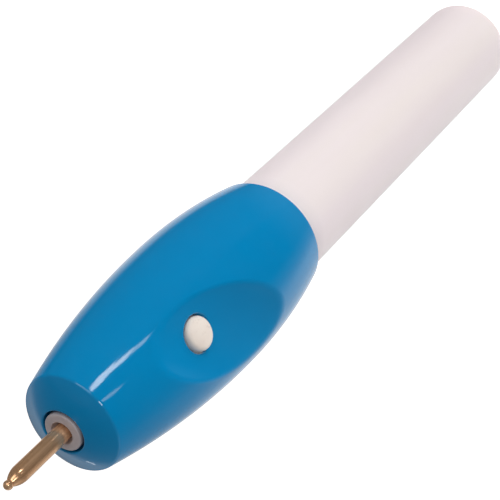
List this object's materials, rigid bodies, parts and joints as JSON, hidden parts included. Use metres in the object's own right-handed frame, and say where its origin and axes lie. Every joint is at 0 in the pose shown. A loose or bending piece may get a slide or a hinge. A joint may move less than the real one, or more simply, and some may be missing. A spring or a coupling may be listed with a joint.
{
  "type": "battery engraving pen",
  "caption": "Cordless engraving pen: battery tube, barrel grip with a finger scoop and push button, small motor, chuck and a ball-tipped bit.",
  "frame": {"origin": "centre of the flat tail face, with the pen standing upright on it", "axes": "+Z along the pen towards the bit, push button facing -Y"},
  "size_m": [0.0284, 0.0284, 0.1753],
  "materials": {
    "grip_blue": "gloss",
    "button_white": "semi gloss",
    "tube_white": "satin",
    "chuck_grey": "satin",
    "bit_metal": "polished",
    "black_plastic": "matte",
    "nylon_white": "satin",
    "nickel": "bright",
    "motor_steel": "zinc plated",
    "bronze": "sintered",
    "ferrite": "matte",
    "copper": "enamelled",
    "black_rubber": "matte",
    "phosphor_bronze": "rolled",
    "lead_red": "satin",
    "lead_black": "satin",
    "lead_white": "satin",
    "shaft_steel": "ground",
    "spring_steel": "bright",
    "cell": "printed sleeve, plain"
  },
  "bodies": {
    "grip": {"grip_shell": "grip_blue", "bulkhead": "black_plastic", "positive_contact": "nickel", "positive_rivet": "nickel", "negative_contact_ring": "nickel", "motor_can": "motor_steel", "motor_end_cap": "nylon_white", "motor_front_bushing": "bronze", "motor_rear_bushing": "bronze", "motor_magnets": "ferrite", "motor_brushes": "copper", "motor_terminals": "nickel", "motor_cushion": "black_rubber", "motor_front_mount": "black_plastic", "switch_base": "black_plastic", "switch_fixed_contact": "nickel", "leaf_anchor": "phosphor_bronze", "leaf_rivet": "nickel", "switch_screws": "motor_steel", "lead_positive": "lead_red", "lead_negative": "lead_black", "lead_switch": "lead_white"},
    "rotor": {"motor_shaft": "shaft_steel", "armature_core": "ferrite", "armature_windings": "copper", "commutator": "copper", "chuck": "chuck_grey"},
    "bit": {"engraving_bit": "bit_metal"},
    "button": {"push_button": "button_white"},
    "leaf": {"switch_leaf": "phosphor_bronze"},
    "battery_tube": {"battery_tube": "tube_white", "tail_contact_plate": "nickel", "contact_strip": "nickel", "tail_spring": "spring_steel", "battery_rear": "cell", "battery_front": "cell"}
  },
  "joints": [
    {"name": "rotor_spin", "type": "hinge", "parent": "grip", "child": "rotor", "pos_m": [0, 0, 0.14], "axis": [0, 0, 1], "continuous": true},
    {"name": "bit_pull", "type": "slide", "parent": "rotor", "child": "bit", "axis": [0, 0, 1], "range_m": [0, 0.012]},
    {"name": "button_press", "type": "slide", "parent": "grip", "child": "button", "axis": [0, 1, 0], "range_m": [0, 0.0008], "stiffness_N_per_m": 1500, "springref_m": -0.0005},
    {"name": "leaf_bend", "type": "hinge", "parent": "grip", "child": "leaf", "pos_m": [0, -0.00843, 0.1235], "axis": [-1, 0, 0], "range_deg": [0, 4.5]},
    {"name": "tube_pull", "type": "slide", "parent": "grip", "child": "battery_tube", "axis": [0, 0, -1], "range_m": [0, 0.03]}
  ],
  "couplings": [
    {"joint": "leaf_bend", "follows": "button_press", "rad_per_m": 87.7}
  ]
}
